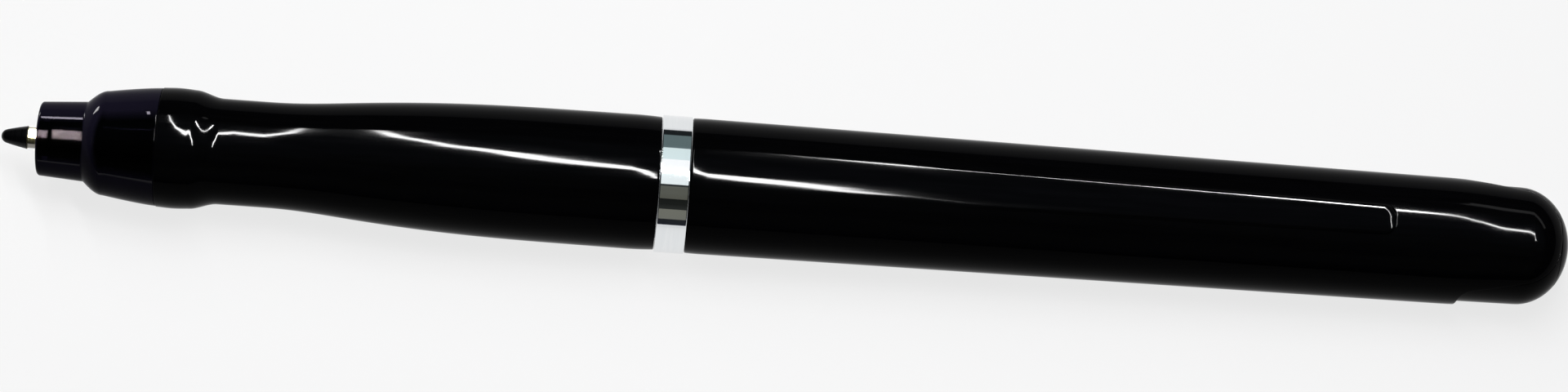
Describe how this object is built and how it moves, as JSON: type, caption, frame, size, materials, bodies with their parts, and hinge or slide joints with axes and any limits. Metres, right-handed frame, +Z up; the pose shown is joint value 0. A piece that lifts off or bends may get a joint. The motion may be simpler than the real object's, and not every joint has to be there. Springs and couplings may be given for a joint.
{
  "type": "stylus pen",
  "caption": "Slim round electronic stylus pen with a clear dark nose, a waisted grip, a metal centre ring and a tapered rear barrel that unscrews for its battery.",
  "frame": {"origin": "middle of the pen's length, on the ground under its axis", "axes": "+X along the pen from the writing tip to the rear end, +Z up through the raised flat of the rear barrel"},
  "size_m": [0.15, 0.0132, 0.0131],
  "materials": {
    "nib_black": "satin",
    "refill_steel": "polished",
    "clear_violet": "clear, dark violet, polished",
    "gloss_black": "polished",
    "ring_metal": "polished",
    "dark_plastic": "matt",
    "emitter_epoxy": "clear, smoky",
    "board_green": "solder mask",
    "ribbon_film": "film",
    "chip_black": "moulded",
    "can_metal": "plain",
    "carrier_plastic": "natural",
    "plunger_red": "satin",
    "spring_steel": "drawn wire",
    "collar_metal": "turned",
    "seal_rubber": "matt",
    "contact_brass": "plated",
    "cell_can": "printed sleeve without lettering",
    "liner_steel": "rolled"
  },
  "bodies": {
    "pen_body": {"nose_shroud": "clear_violet", "grip_barrel": "gloss_black", "centre_ring": "ring_metal", "led_holder": "dark_plastic", "inner_chassis": "dark_plastic", "tip_switch": "dark_plastic", "battery_sleeve": "dark_plastic", "infrared_led_1": "emitter_epoxy", "infrared_led_2": "emitter_epoxy", "infrared_led_3": "emitter_epoxy", "led_board": "board_green", "main_board": "board_green", "power_board": "board_green", "ribbon_cable": "ribbon_film", "processor_chip": "chip_black", "driver_chip": "chip_black", "voltage_coil": "chip_black", "crystal_can": "can_metal", "return_spring": "spring_steel", "threaded_collar": "collar_metal", "seal_ring": "seal_rubber", "positive_contact": "contact_brass", "battery_cell": "cell_can"},
    "tip_carrier": {"refill_carrier": "carrier_plastic"},
    "refill": {"stylus_nib": "nib_black", "refill_tube": "refill_steel"},
    "plunger": {"switch_plunger": "plunger_red"},
    "contact_swivel": {"contact_cap": "contact_brass"},
    "rear_barrel": {"rear_barrel": "gloss_black", "ground_liner": "liner_steel", "battery_spring": "spring_steel", "contact_plate": "contact_brass", "end_plug": "gloss_black"}
  },
  "joints": [
    {"name": "nib_press", "type": "slide", "parent": "pen_body", "child": "tip_carrier", "axis": [1, 0, 0], "range_m": [0, 0.0005], "stiffness_N_per_m": 400, "springref_m": -0.0005, "deforming": ["return_spring"]},
    {"name": "refill_pull", "type": "slide", "parent": "tip_carrier", "child": "refill", "axis": [-1, 0, 0], "range_m": [0, 0.063]},
    {"name": "plunger_press", "type": "slide", "parent": "pen_body", "child": "plunger", "axis": [1, 0, 0], "range_m": [0, 0.0005]},
    {"name": "barrel_travel", "type": "slide", "parent": "pen_body", "child": "contact_swivel", "axis": [1, 0, 0], "range_m": [0, 0.006]},
    {"name": "barrel_turn", "type": "hinge", "parent": "contact_swivel", "child": "rear_barrel", "pos_m": [0, 0, 0.00656], "axis": [1, 0, 0], "range_deg": [0, 1440]}
  ],
  "couplings": [
    {"joint": "plunger_press", "follows": "nib_press", "ratio": 1},
    {"joint": "barrel_travel", "follows": "barrel_turn", "m_per_rad": 0.00023873}
  ]
}
